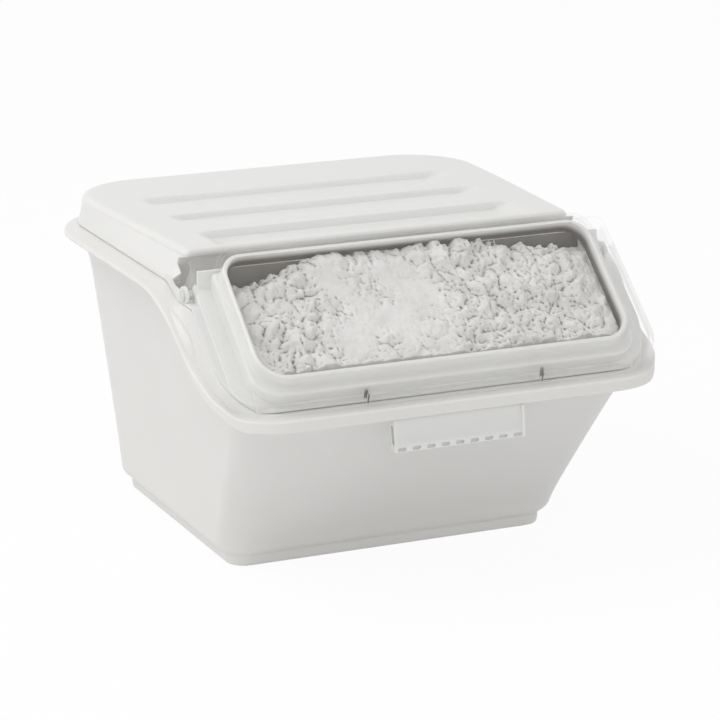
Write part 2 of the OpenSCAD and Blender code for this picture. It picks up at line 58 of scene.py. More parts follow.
# noise_vector follows the clock unless a seed is set; this one gives the powder its chosen clumps
POWDER_SEED = 1795500137


# ---- outlines and sections ----
def mix(a, b, t):
    return a + (b - a) * t


def step_in(v, a, b):
    return np.clip((v - a) / (b - a), 0, 1)


def ease(v, a, b):
    t = step_in(v, a, b)
    return t * t * (3 - 2 * t)


def outline(h, f, r, cf, cr, sn=44, cn=12, en=8):
    """Closed outline, counter-clockwise from its front middle: half width, front, rear, corner radii."""
    a = np.radians(np.linspace(0, 90, cn + 1))
    x = np.concatenate([np.linspace(0, h - cf, en, endpoint=False), h - cf + cf * np.sin(a),
                        np.full(sn - 1, h), h - cr + cr * np.cos(a), np.linspace(h - cr, 0, en + 1)[1:]])
    y = np.concatenate([np.full(en, -f), -f + cf - cf * np.cos(a),
                        np.linspace(-f + cf, r - cr, sn + 1)[1:-1],
                        r - cr + cr * np.sin(a), np.full(en, r)])
    half = np.stack([x, y], 1)
    left = half[-2:0:-1] * [-1, 1]
    return np.vstack([half, left])


def lift(o, z):
    return np.column_stack([o, np.broadcast_to(z, len(o))])


def rounded(points, radii, n=6):
    """A run of 2-D points with its inner corners rounded."""
    out = [np.array(points[0], float)]
    for i in range(1, len(points) - 1):
        p, r = np.array(points[i], float), radii[i - 1]
        a, b = np.array(points[i - 1], float) - p, np.array(points[i + 1], float) - p
        la, lb = np.linalg.norm(a), np.linalg.norm(b)
        a, b = a / la, b / lb
        turn = math.pi - math.acos(max(-1, min(1, float(a @ b))))
        if r <= 0 or turn < 0.02:
            out.append(p)
            continue
        d = min(r * math.tan(turn / 2), 0.48 * la, 0.48 * lb)
        for k in range(n + 1):
            t = k / n
            out.append((1 - t) ** 2 * (p + a * d) + 2 * t * (1 - t) * p + t * t * (p + b * d))
    out.append(np.array(points[-1], float))
    return out


# the rim's S-curve seen from the side: y, and how far down from the flange to the lip
S_RUN = np.array([[-180, 1], [-164, 1], [-158, 0.955], [-150, 0.885], [-136, 0.8], [-124, 0.73],
                  [-116, 0.672], [-110, 0.615], [-104, 0.54], [-98.5, 0.455], [-92.5, 0.36],
                  [-85.5, 0.26], [-78, 0.19], [-67, 0.1], [-56, 0.04], [-45, 0.012], [-32, 0.001],
                  [200, 0]])


def smooth_lookup(table, v):
    """Monotone cubic through a table of x, y rows."""
    x, y = table[:, 0], table[:, 1]
    h, d = np.diff(x), np.diff(y) / np.diff(x)
    m = np.zeros(len(x))
    same = d[:-1] * d[1:] > 0
    w1, w2 = 2 * h[1:] + h[:-1], h[1:] + 2 * h[:-1]
    with np.errstate(divide="ignore", invalid="ignore"):
        m[1:-1] = np.where(same, (w1 + w2) / (w1 / d[:-1] + w2 / d[1:]), 0)
    v = np.clip(np.asarray(v, float), x[0], x[-1])
    k = np.clip(np.searchsorted(x, v, side="right") - 1, 0, len(h) - 1)
    t = (v - x[k]) / h[k]
    return ((2 * t**3 - 3 * t**2 + 1) * y[k] + (t**3 - 2 * t**2 + t) * h[k] * m[k]
            + (3 * t**2 - 2 * t**3) * y[k + 1] + (t**3 - t**2) * h[k] * m[k + 1])


def s_share(y):
    return smooth_lookup(S_RUN, y)


def flange_lo(y):
    return mix(FLANGE_Z, LIP_Z, s_share(y))


def flange_hi(y):
    return flange_lo(y) + mix(FLANGE_T, LIP_T, s_share(y) ** 1.5)


def level(y, front):
    return y - (LIP_FRONT - front) * ease(-y, 112, front)


def flange_x(x, y):
    return x - np.sign(x) * np.minimum(np.abs(x), 9 * s_share(y))


def slope_at(y, t):
    u = (-SLOPE_Y - t * math.sin(SLOPE) - y) / math.cos(SLOPE)
    return SLOPE_Z - u * math.sin(SLOPE) + t * math.cos(SLOPE)


def collar_z(y):
    return np.minimum(mix(SKIRT_Z - SEAT_GAP, SKIRT_Z - 9.3, ease(-y, 48, 72)), slope_at(y, -22))


def seat_z(y):
    return np.maximum(collar_z(y), flange_hi(level(y, COLLAR_FRONT)) + 1.2)


def on_slope(p):
    """Points (x, y, z) of the sloping plane's own frame put in place."""
    c, s = math.cos(SLOPE), math.sin(SLOPE)
    return np.column_stack([p[:, 0], p[:, 1] * c - p[:, 2] * s - SLOPE_Y,
                            p[:, 1] * s + p[:, 2] * c + SLOPE_Z])


# ---- meshes ----
def mesh_of(verts, faces, name="m"):
    me = bpy.data.meshes.new(name)
    me.from_pydata([tuple(map(float, v)) for v in verts], [], [tuple(map(int, f)) for f in faces])
    me.update()
    return me


def skin(rings, loop=False):
    """Stacked rings joined into a closed solid: capped at both ends, or joined end to end."""
    m, n = len(rings), len(rings[0])
    i = np.arange(n)
    j = (i + 1) % n
    faces = []
    for k in range(m if loop else m - 1):
        b = ((k + 1) % m) * n
        faces += np.column_stack([k * n + i, k * n + j, b + j, b + i]).tolist()
    if not loop:
        faces += [list(range(n))[::-1], [(m - 1) * n + v for v in range(n)]]
    return np.vstack(rings), faces


def extrude_x(side, x0, x1):
    """A side view, as y and z, drawn along X."""
    side = np.array(side, float)
    n = len(side)
    area = 0.5 * sum(side[k][0] * side[(k + 1) % n][1] - side[(k + 1) % n][0] * side[k][1] for k in range(n))
    if area < 0:
        side = side[::-1]
    return skin([np.column_stack([np.full(n, x0), side]), np.column_stack([np.full(n, x1), side])])


def block(x0, x1, y0, y1, z0, z1):
    return extrude_x([(y0, z0), (y1, z0), (y1, z1), (y0, z1)], x0, x1)


def circle(cy, cz, r, n=96):
    a = np.linspace(0, 2 * math.pi, n, endpoint=False)
    return np.column_stack([cy + r * np.cos(a), cz + r * np.sin(a)])


def sloped(solid):
    return on_slope(solid[0]), solid[1]


def solid_object(solid):
    ob = bpy.data.objects.new("part", mesh_of(*solid))
    bpy.context.collection.objects.link(ob)
    return ob


def combined(base, steps):
    """The base solid with each (operation, solid) carried out in turn, as (verts, faces)."""
    ob = solid_object(base)
    others = []
    for op, other in steps:
        o = solid_object(other)
        o.hide_render = True
        others.append(o)
        m = ob.modifiers.new("b", "BOOLEAN")
        m.operation, m.object, m.solver = op, o, "MANIFOLD"
    dg = bpy.context.evaluated_depsgraph_get()
    ev = ob.evaluated_get(dg)
    me = ev.to_mesh()
    v = np.empty(len(me.vertices) * 3)
    me.vertices.foreach_get("co", v)
    out = v.reshape(-1, 3), [list(p.vertices) for p in me.polygons]
    ev.to_mesh_clear()
    for o in [ob] + others:
        d = o.data
        bpy.data.objects.remove(o)
        bpy.data.meshes.remove(d)
    return out


def finished(solid, name, body, nodes, material, angle=35, weighted=True):
    """The solid as a shown piece in metres, shaded smooth except at its sharp edges."""
    me = mesh_of(np.asarray(solid[0]) * MM, solid[1], name)
    ob = bpy.data.objects.new(name, me)
    bpy.context.collection.objects.link(ob)
    me.validate()
    me.shade_smooth()
    if angle:
        me.set_sharp_from_angle(angle=math.radians(angle))
    me.materials.append(material)
    if weighted:
        w = ob.modifiers.new("normals", "WEIGHTED_NORMAL")
        w.keep_sharp = True
    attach(ob, body)
    if nodes:
        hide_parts(*nodes)
    return ob


# ---- materials ----
def plug(tree, made, inputs):
    """Each named or numbered input of a node is given a value, or the socket that feeds it."""
    for key, given in inputs.items():
        if isinstance(given, bpy.types.NodeSocket):
            tree.links.new(given, made.inputs[key])
        else:
            made.inputs[key].default_value = given


def node(tree, kind, inputs, output, **settings):
    """One output of a new node with its settings made and its inputs plugged."""
    made = tree.nodes.new(kind)
    for key, value in settings.items():
        setattr(made, key, value)
    plug(tree, made, inputs)
    return made.outputs[output]


def principled(name, colour, roughness, **extra):
    """A new material, its node tree and its Principled node; _ stands for a space in extra inputs."""
    mat = bpy.data.materials.new(name)
    mat.use_nodes = True
    tree = mat.node_tree
    b = tree.nodes["Principled BSDF"]
    plug(tree, b, {"Base Color": (*colour, 1), "Roughness": roughness})
    plug(tree, b, {key.replace("_", " "): value for key, value in extra.items()})
    return mat, tree, b


def object_place(tree):
    return node(tree, "ShaderNodeTexCoord", {}, "Object")


def cloud_of(tree, place, scale, detail=2):
    return node(tree, "ShaderNodeTexNoise", {"Vector": place, "Scale": scale, "Detail": detail}, "Fac")


def two_tone(tree, value, low, dark, high, light):
    """Dark up to the low value, light from the high one on, blended between."""
    ramp = tree.nodes.new("ShaderNodeValToRGB")
    ends = ramp.color_ramp.elements
    ends[0].position, ends[1].position = low, high
    ends[0].color, ends[1].color = (*dark, 1), (*light, 1)
    plug(tree, ramp, {"Fac": value})
    return ramp.outputs["Color"]


def spread(tree, value, low, high):
    return node(tree, "ShaderNodeMapRange", {"Value": value, "To Min": low, "To Max": high}, "Result")


def bumps(tree, height, strength, distance):
    return node(tree, "ShaderNodeBump", {"Height": height, "Strength": strength, "Distance": distance},
                "Normal")


def moulded(name, light, dark, roughness, grain=900.0, bump=0.05):
    """Moulded plastic: faint clouding, a fine orange-peel grain and uneven gloss."""
    mat, tree, b = principled(name, light, roughness, IOR=1.49, Subsurface_Weight=0.25,
                              Subsurface_Scale=0.006, Subsurface_Radius=(1.0, 0.9, 0.8))
    place = object_place(tree)
    cloud, fine = cloud_of(tree, place, 9.0, 3), cloud_of(tree, place, grain)
    plug(tree, b, {"Base Color": two_tone(tree, cloud, 0.3, dark, 0.7, light),
                   "Roughness": spread(tree, cloud, roughness - 0.05, roughness + 0.06),
                   "Normal": bumps(tree, fine, bump, 0.0003)})
    return mat


def paint_opening_shade(mat, near, far, colour):
    """Painted shade inside the opening: the base colour falls off towards the given dark colour from near to
    far below the rim, in metres.
    """
    tree = mat.node_tree
    b = tree.nodes["Principled BSDF"]
    plain = b.inputs["Base Color"].links[0].from_socket
    place = object_place(tree)
    c, s = math.cos(SLOPE), math.sin(SLOPE)
    y0, z0 = -SLOPE_Y * MM, SLOPE_Z * MM

    def sum_of(op, *terms):
        return node(tree, "ShaderNodeMath", dict(enumerate(terms)), "Value", operation=op)

    def along(axis, offset):
        dot = node(tree, "ShaderNodeVectorMath", {0: place, 1: axis}, "Value", operation="DOT_PRODUCT")
        return sum_of("ADD", dot, offset)

    def fade(value, start, end):
        return node(tree, "ShaderNodeMapRange", {"Value": value, "From Min": start, "From Max": end},
                    "Result", interpolation_type="SMOOTHSTEP")

    def past(value, start):
        """The square of how far a value is past its start."""
        over = sum_of("MAXIMUM", sum_of("ADD", value, -start), 0)
        return sum_of("MULTIPLY", over, over)

    down = along((0, -c, -s), y0 * c + z0 * s)
    off = along((0, s, -c), -y0 * s + z0 * c)
    up = along((0, c, s), -y0 * c - z0 * s)
    wide, half = sum_of("ABSOLUTE", along((1, 0, 0), 0)), OPEN_HALF * MM
    # rounded ends, the low one with the opening's own radius r and the top one with a tighter radius q
    r, q = OPEN_R * MM, 0.008
    low_end = sum_of("ADD", past(wide, half - r), past(down, OPEN_LEN * MM - r))
    top_end = sum_of("ADD", past(wide, half - q), past(up, 0.0006 - q))
    inside = sum_of("MULTIPLY", fade(low_end, (r + 0.0010) ** 2, (r + 0.0003) ** 2),
                    fade(top_end, (q + 0.0007) ** 2, q ** 2))
    depth = sum_of("MULTIPLY", inside, fade(off, near, far))
    # painted shade: the colour darkens with depth below the opening's plane, inside its rounded outline
    painted_shade = node(tree, "ShaderNodeMix", {"Factor": depth, 6: plain, 7: (*colour, 1)}, 2, data_type="RGBA")
    plug(tree, b, {"Base Color": painted_shade})


def clear_plastic(name):
    """Clear moulded sheet: thin, so light goes straight through, with a soft gloss and a faint haze."""
    mat, tree, b = principled(name, (0.93, 0.94, 0.935), 0.2, IOR=1.45, Alpha=0.03)
    wave = cloud_of(tree, object_place(tree), 45)
    uneven = bumps(tree, wave, 0.06, 0.0006)
    plug(tree, b, {"Normal": uneven, "Alpha": spread(tree, wave, 0.015, 0.045)})
    gloss = node(tree, "ShaderNodeBsdfGlossy", {"Color": (0.95, 0.95, 0.95, 1), "Roughness": 0.15,
                                                "Normal": uneven}, "BSDF")
    # the reflection at the edge of sight, with the index turned over for faces seen from inside
    index = spread(tree, node(tree, "ShaderNodeNewGeometry", {}, "Backfacing"), 1.3, 1 / 1.3)
    rim = node(tree, "ShaderNodeFresnel", {"IOR": index}, "Fac")
    seen = node(tree, "ShaderNodeMixShader", {0: rim, 1: b.outputs["BSDF"], 2: gloss}, "Shader")
    through = node(tree, "ShaderNodeBsdfTransparent", {"Color": (0.95, 0.955, 0.95, 1)}, "BSDF")
    shadow = node(tree, "ShaderNodeLightPath", {}, "Is Shadow Ray")
    both = node(tree, "ShaderNodeMixShader", {0: shadow, 1: seen, 2: through}, "Shader")
    plug(tree, tree.nodes["Material Output"], {"Surface": both})
    return mat


def flour_stuff(name, deep, flat):
    """Powder: pale and matt, with painted shade in the cracks, where the pointiness runs from flat down to
    deep.
    """
    mat, tree, b = principled(name, (0.88, 0.87, 0.85), 0.95, Specular_IOR_Level=0.1)
    place = object_place(tree)
    tone = two_tone(tree, cloud_of(tree, place, 60, 6), 0.35, (0.77, 0.76, 0.735),
                    0.65, (0.87, 0.86, 0.845))
    # painted shade: where the pointiness is low, in the cracks, the colour turns dark brown
    point = node(tree, "ShaderNodeNewGeometry", {}, "Pointiness")
    even = node(tree, "ShaderNodeMapRange", {"Value": point, "From Min": deep, "From Max": flat}, "Result")
    crease = node(tree, "ShaderNodeMix", {"Factor": even, 6: (0.17, 0.15, 0.125, 1), 7: tone}, 2,
                  data_type="RGBA")
    plug(tree, b, {"Base Color": crease,
                   "Normal": bumps(tree, cloud_of(tree, place, 1400, 4), 0.5, 0.0005)})
    return mat


def shaded_cut_face(name, light, dark):
    """Faces of a cut through clear sheet, painted dark as shade, with fine saw marks across the thickness.
    """
    mat, tree, b = principled(name, light, 0.55, Alpha=0.85)
    marks = node(tree, "ShaderNodeTexWave", {"Vector": object_place(tree), "Scale": 500, "Distortion": 3},
                 "Fac")
    plug(tree, b, {"Base Color": two_tone(tree, marks, 0, dark, 1, light),
                   "Normal": bumps(tree, marks, 0.4, 0.0002)})
    return mat


bin_mat = moulded("bin_plastic", (0.80, 0.79, 0.768), (0.77, 0.76, 0.738), 0.42, bump=0.06)
cover_mat = moulded("cover_plastic", (0.82, 0.813, 0.793), (0.80, 0.793, 0.773), 0.4, bump=0.05)
# painted shade: the cover's faces deep inside the opening take this dark colour, as the shade there
paint_opening_shade(cover_mat, 0.0015, 0.008, (0.112, 0.098, 0.08))
door_mat = clear_plastic("clear_sheet")
# painted shade: the slits' cut faces are painted dark
slit_shade_mat = shaded_cut_face("cut_face_painted_shade", (0.2, 0.19, 0.175), (0.1, 0.095, 0.085))
pin_mat = moulded("pin_plastic", (0.72, 0.72, 0.70), (0.66, 0.66, 0.64), 0.35)
label_mat = moulded("label_plastic", (0.82, 0.82, 0.80), (0.79, 0.79, 0.77), 0.3, grain=700.0)
flour_mat = flour_stuff("flour", 0.411, 0.487)
bed_mat = flour_stuff("flour_bed", 0.0, 0.1)
# painted shade: the powder's surface deep below the opening's plane is painted dark, as the shade there
paint_opening_shade(flour_mat, 0.0125, 0.025, (0.2, 0.185, 0.16))


# ---- bin ----
def wall_ring(z, g=0):
    """Outline of the tub's wall at a height, g outward."""
    up = z - BELLY_H
    return outline(WALL_H0 + SIDE_SLOPE * up + g, WALL_F0 + FRONT_SLOPE * up + g,
                   WALL_R0 + REAR_SLOPE * up + g, 16.2 + 0.085 * z + g, 22 + 0.13 * z + g)


def ladder(rings, tight, d=0.7):
    """Rings with another close on both sides of each tight one, so that smoothing keeps its edge."""
    out = []
    for k, r in enumerate(rings):
        if k in tight and k > 0:
            gap = np.linalg.norm(rings[k - 1] - r, axis=1)[:, None]
            out.append(r + (rings[k - 1] - r) * np.minimum(0.4, d / np.maximum(gap, 1e-6)))
        out.append(r)
        if k in tight and k + 1 < len(rings):
            gap = np.linalg.norm(rings[k + 1] - r, axis=1)[:, None]
            out.append(r + (rings[k + 1] - r) * np.minimum(0.4, d / np.maximum(gap, 1e-6)))
    return out


def make_bin():
    line = outline(FLANGE_HALF, LIP_FRONT, FLANGE_REAR, 42, 78)
    line_in = outline(FLANGE_HALF - 1, LIP_FRONT - 1, FLANGE_REAR - 1, 41, 77)
    crease = outline(FLANGE_HALF - 6, COLLAR_FRONT + 2.7, FLANGE_REAR - 5, 36, 73)
    collar = outline(COVER_HALF + 0.2, COLLAR_FRONT, COVER_REAR + 0.2, 35, 53)
    collar_in = outline(COVER_HALF + 0.2 - COLLAR_T, COLLAR_FRONT - COLLAR_T,
                        COVER_REAR + 0.2 - COLLAR_T, 33, 51)

    def wall_pt(z, g):
        return np.array([(*wall_ring(h, g)[i], h) for i, h in enumerate(z)])

    def wall_under(g, dz):
        y = line[:, 1]
        return wall_pt(flange_lo(y) + dz * mix(1, 0.62, s_share(y)), g)

    def under(o, dz):
        return np.column_stack([flange_x(o[:, 0], o[:, 1]), o[:, 1], flange_lo(line[:, 1]) + dz])

    def over(o, dz):
        y = level(o[:, 1], -o[0, 1])
        z = flange_hi(y) + dz * (1 - s_share(o[:, 1]))
        return np.column_stack([flange_x(o[:, 0], o[:, 1]), o[:, 1], z])

    # half width, front, rear and height of the plinth
    PH, PF, PR, P = 115.9, 70.4, 132.9, 8.0
    rings = [
        lift(outline(PH - 2, PF - 2, PR - 2, 12, 12), 0),
        lift(outline(PH - 0.6, PF - 0.6, PR - 0.6, 13, 13), 0.6),
        lift(outline(PH, PF, PR, 14, 14), 2),
        lift(outline(PH + 0.4, PF + 0.4, PR + 0.3, 14, 14), P),
        lift(outline(PH + 2.2, PF + 2.2, PR + 1.8, 16, 16), P + 1.3),
        lift(outline(mix(PH, WALL_H0, 0.68), mix(PF, WALL_F0, 0.5), mix(PR, WALL_R0, 0.62), 16.5, 18),
             P + 4),
        lift(outline(mix(PH, WALL_H0, 0.9), mix(PF, WALL_F0, 0.74), mix(PR, WALL_R0, 0.86), 17.5, 20),
             P + 9),
        lift(wall_ring(BELLY_H), BELLY_H),
        wall_under(0, -22), wall_under(1.2, -14), wall_under(4.6, -8), wall_under(10, -4),
        under(line_in, 0), under(line, 1),
        np.column_stack([flange_x(line[:, 0], line[:, 1]), line[:, 1], flange_hi(line[:, 1]) - 1]),
        over(line_in, 0), over(crease, 0.6),
        lift(collar, seat_z(collar[:, 1])), lift(collar_in, seat_z(collar_in[:, 1])),
        lift(collar_in, flange_hi(level(collar_in[:, 1], -collar_in[0, 1])) - 2),
        wall_under(5 - WALL, -6.4), wall_under(1.2 - WALL, -13), wall_under(-WALL, -22),
        lift(outline(WALL_H0 - WALL, WALL_F0 - WALL, WALL_R0 - WALL, 16, 22), BELLY_H),
        lift(outline(PH - 1, PF - 0.5, PR - 1, 14, 14), P + 3),
        lift(outline(PH - 5, PF - 4.5, PR - 5, 12, 12), WALL + 0.6),
        lift(outline(PH - 9, PF - 8.5, PR - 9, 10, 10), WALL)]
    rings = ladder(rings, {0, 3, 13, 14, 16, 17, 18, 19, 26})
    ob = finished(skin(rings), "bin_tub", "bin", ["tub"], bin_mat, angle=None, weighted=False)
    sub = ob.modifiers.new("smooth", "SUBSURF")
    sub.levels = sub.render_levels = 2


# ---- cover ----
def top_outline(g, **k):
    a = outline(TOP_HALF_R, TOP_FRONT, TOP_REAR, 5, 47, **k)
    w = mix(TOP_HALF_F / TOP_HALF_R, 1, ease(a[:, 1], -90, TOP_REAR - 40))
    x = a[:, 0] * w * (1 + g / TOP_HALF_R)
    y = a[:, 1] + np.where(a[:, 1] > 0, g, -g) * step_in(np.abs(a[:, 1]), 0, 40)
    return np.column_stack([x, y])


FINE = dict(sn=90, cn=18, en=90)


def skirt_mix(g, v, z):
    a, s = top_outline(g, **FINE), outline(COVER_HALF, TOP_FRONT + 9.5, COVER_REAR, 8, 53, **FINE)
    s = s + np.sign(s) * min(g, 0)
    return lift(mix(s, a, v), z)


def sunk(x, y):
    """Depth of the three sunk steps at a point of the flat top."""
    d = np.zeros(len(x))
    for k, (run, deep, fore) in enumerate([(38, 4, 0), (38, 4, 0), (60, 5, 4.4)]):
        v = TOP_REAR - 65 - 53 * k - y
        side = ease(117 - np.abs(x), 0, 15)
        back = ease(v, -0.8, 2.6)
        ramp = mix(deep, fore, step_in(v, 0, run))
        if fore == 0:
            end = ease(np.abs(x), 82, 104)
            ramp = mix(ramp, deep * (1 - ease(v, 9, 21)), end)
        d = np.maximum(d, side * back * np.where(v < run, ramp, 0))
    return d


def inner_rings(edge, z, count):
    """Rings from the edge of the top in to a line along its middle, with the sunk steps in them."""
    half = edge[:, 0].max()
    mid = (edge[:, 1].max() + edge[:, 1].min()) / 2
    goal = np.column_stack([np.clip(edge[:, 0], -(half - 100), half - 100), np.full(len(edge), mid)])
    out = []
    for k in range(1, count + 1):
        p = mix(edge[:, :2], goal, min(k / count, 0.9995))
        out.append(lift(p, z - sunk(p[:, 0], p[:, 1])))
    return out


def make_cover():
    e = 5.0
    mid_z = mix(SKIRT_Z, COVER_Z - e + 1, 0.5)
    # each ring of the outside: how far outward, its share of the top's outline, and its height
    run = [(0, 0, SKIRT_Z), (0, 0.5, mid_z), (0.9, 1, COVER_Z - e + 0.6), (1, 1, COVER_Z - e + 1.3),
           (0.8, 1, COVER_Z - e * 0.5), (0.1, 1, COVER_Z - e * 0.24), (-0.9, 1, COVER_Z - e * 0.09),
           (-2.2, 1, COVER_Z - 0.08), (-3.4, 1, COVER_Z)]
    outer = [skirt_mix(*r) for r in run]
    outer += inner_rings(outer[-1], COVER_Z, 70)
    t = COVER_T
    inner = [skirt_mix(-t, 0, SKIRT_Z - 0.02), skirt_mix(-t, 0.5, mid_z - t),
             skirt_mix(1 - t, 1, COVER_Z - e + 1 - t), skirt_mix(-1 - t, 1, COVER_Z - 1.2 - t),
             skirt_mix(-3.4 - t, 1, COVER_Z - t)]
    inner += inner_rings(inner[-1], COVER_Z - t, 40)
    shell = skin(inner[::-1] + outer)

    # the hinge channel: half length, rear wall's radius, front wall and floor
    wall_half = WALL_H0 + SIDE_SLOPE * (HINGE_Z - 11.5 - BELLY_H) - WALL - 0.5
    radius, front_y, floor = 33.2, -(HINGE_Y + 3.7), HINGE_Z - 10

    # edge that rests on the collar
    o = outline(COVER_HALF, COLLAR_FRONT - 0.3, COVER_REAR, 35, 53, sn=120, cn=16)
    q = outline(DOOR_HALF - 3.2 - 2.2, COLLAR_FRONT - 6.2, COVER_REAR - 7, 29, 47, sn=120, cn=16)

    def edge_z(p):
        return seat_z(p[:, 1]) + SEAT_GAP + 0.2 * s_share(p[:, 1])

    zo, zq = edge_z(o), edge_z(q)
    seat = skin([lift(o, zo), lift(o, zo + BAND_T - 0.5), lift(o * 0.9975, zo + BAND_T),
                 lift(q, zq + BAND_T), lift(q, zq)], loop=True)

    cover = combined(shell, [
        ("UNION", seat),
        ("DIFFERENCE", extrude_x(circle(*HUB, radius, 180), -wall_half, wall_half)),
        ("DIFFERENCE", combined(
            extrude_x(circle(*HUB, 25.2, 120), -(COVER_HALF - EAR_T), COVER_HALF - EAR_T),
            [("INTERSECT", block(-200, 200, front_y, front_y + 100, floor, floor + 100))]))])

    # hinge channel under the top's front edge
    a = np.radians(np.linspace(-math.degrees(math.asin((HINGE_Z - floor) / radius)), 33, 40))
    inside = np.column_stack([HUB[0] + radius * np.cos(a), HUB[1] + radius * np.sin(a)])
    w = 2.2
    outside = np.column_stack([HUB[0] + (radius + w) * np.cos(a),
                               HUB[1] + (radius + w) * np.sin(a) - w / 2])[::-1]
    c, s = math.cos(SLOPE), math.sin(SLOPE)
    rise = SLOPE_Z - 3 * s - 9.4 * c
    trough = extrude_x([(front_y - w, rise), (front_y, rise), (front_y, floor), *inside, *outside,
                        (outside[-1][0], floor - w), (front_y - w, floor - w)], -wall_half, wall_half)

    # sloping front: side walls, flat land and the raised rim round the opening
    land = -DROP - DOOR_T - 0.8
    fh, ff, shelf = DOOR_HALF - 3.2, DOOR_LEN - 3.1, -19.5
    neck = OPEN_HALF + RIM_W + 3.5

    def stack(h, f, r, cf, cr, run):
        """Rings on the slope: for each (g, z) the outline g outward, at z."""
        return sloped(skin([lift(outline(h + g, f + g, r + min(g, 0), max(cf + g, 0.4), max(cr + g, 0.4),
                                         sn=30, cn=16), z) for g, z in run]))

    edge = rounded([(0, land - 6), (0, land), (-8, land)], [2.2])
    frame_solid = stack(neck, ff, -4.5, 18, 2.5, [(0, -27)] + edge[:-1])
    hollow = stack(neck - 2.2, ff - 2.2, 2, 16, 0.5, [(0, -27.1), (0, land - 2.4)])
    brim = rounded([(0, shelf - 6), (0, shelf), (-4, shelf)], [1.2], 4)
    skirt_box = stack(fh, ff, -4.5, 18, 2.5, [(0, -27)] + brim[:-1])
    under_box = stack(fh - 2.2, ff - 2.2, 2, 16, 0.5, [(0, -27.1), (0, shelf - 2.2)])
    crown = rounded([(0, -6), (0, 0), (-3, 0)], [1.5], 7)
    rim = stack(OPEN_HALF + RIM_W, OPEN_LEN + RIM_W + 0.4, 2.2, OPEN_R + RIM_W, OPEN_R - 2,
                [(1.2, land - 2.4), (1.2, land), (0.5, land + 0.5), (0.1, land + 1.4)] + crown[:-1])
    hole = stack(OPEN_HALF, OPEN_LEN, 0, OPEN_R, OPEN_R - 3,
                 [(0, -28), (0, -1.7), (0.1, -1.2), (0.4, -0.65), (0.9, -0.2), (1.5, 0.05), (1.9, 0.5)])
    notch = sloped(block(-200, 200, -0.6, 9.4, -1.0, 2))
    # everything at and outside the collar
    oo = outline(FLANGE_HALF + 20, LIP_FRONT + 20, FLANGE_REAR + 20, 50, 80, sn=60)
    nn = outline(COVER_HALF + 0.2 - COLLAR_T - SEAT_GAP, COLLAR_FRONT - COLLAR_T - SEAT_GAP,
                 COVER_REAR - COLLAR_T - SEAT_GAP, 33, 51, sn=60)
    rest = seat_z(nn[:, 1]) + SEAT_GAP
    clear = skin([lift(nn, 60), lift(oo, 60), lift(oo, rest), lift(nn, rest)], loop=True)
    shelves = combined(skirt_box, [("DIFFERENCE", under_box), ("DIFFERENCE", hollow)])
    cuts = [("DIFFERENCE", hollow), ("UNION", shelves), ("UNION", rim), ("DIFFERENCE", hole),
            ("DIFFERENCE", notch), ("DIFFERENCE", clear)]
    for sx in (1, -1):
        x0, x1 = sorted((sx * (neck - 2.3), sx * wall_half))
        cuts.append(("DIFFERENCE", block(x0, x1, front_y - 1, front_y + 80, floor, floor + 80)))
    front = combined(frame_solid, cuts)

    # ears that carry the pins
    ys = np.linspace(-HINGE_Y - 3, -44, 24)
    low = [(y, float(seat_z(np.array([y]))[0]) + SEAT_GAP) for y in ys]
    web = low + [(-44, SKIRT_Z + 3), (-56, SKIRT_Z + 2.4), (-62, SKIRT_Z - 0.6), (-HINGE_Y + 3, HINGE_Z + 1),
                 (-HINGE_Y - 3, HINGE_Z - 1)]
    mid = len(low) // 2
    web = rounded(web[mid:] + web[:mid + 1], [0] * (len(low) - mid - 1) + [2, 6, 8, 6, 2] + [0] * mid)[:-1]
    # the top's rounded front edge, and the step where the channel's front wall meets the frame
    tip = [(-62, 218), (-53.2, 218), (-53.2, 216), (-54.6, 215.7), (-55.6, 214.9), (-56.3, 213.6),
           (-57.0, 212.0), (-62, 212)]
    step = [(-84.7, 210.2), (-88, 210.2), (-88, 202), (-86.4, 202)]
    parts = [("UNION", trough), ("UNION", front), ("DIFFERENCE", extrude_x(tip, -138, 138)),
             ("DIFFERENCE", extrude_x(step, 4 - OPEN_HALF, OPEN_HALF - 4))]
    for sx in (1, -1):
        x0, x1 = sorted((sx * (COVER_HALF - EAR_T), sx * COVER_HALF))
        parts += [("UNION", extrude_x(web, x0, x1)),
                  ("UNION", extrude_x(circle(*HUB, PIN_D / 2 + 3), x0, x1))]
    for sx in (1, -1):
        x0, x1 = sorted((sx * (COVER_HALF - EAR_T - EAR_GAP), sx * (COVER_HALF + 1)))
        parts.append(("DIFFERENCE", extrude_x(circle(*HUB, PIN_D / 2 + EAR_PLAY, 64), x0, x1)))
        x0, x1 = sorted((sx * (fh + 0.01), sx * (COVER_HALF - EAR_T)))
        parts.append(("DIFFERENCE", extrude_x(circle(*HUB, LUG_R + 0.5), x0, x1)))
    cover = combined(cover, parts)
    finished(cover, "lid_cover", "cover", ["top_cover"], cover_mat, angle=32)


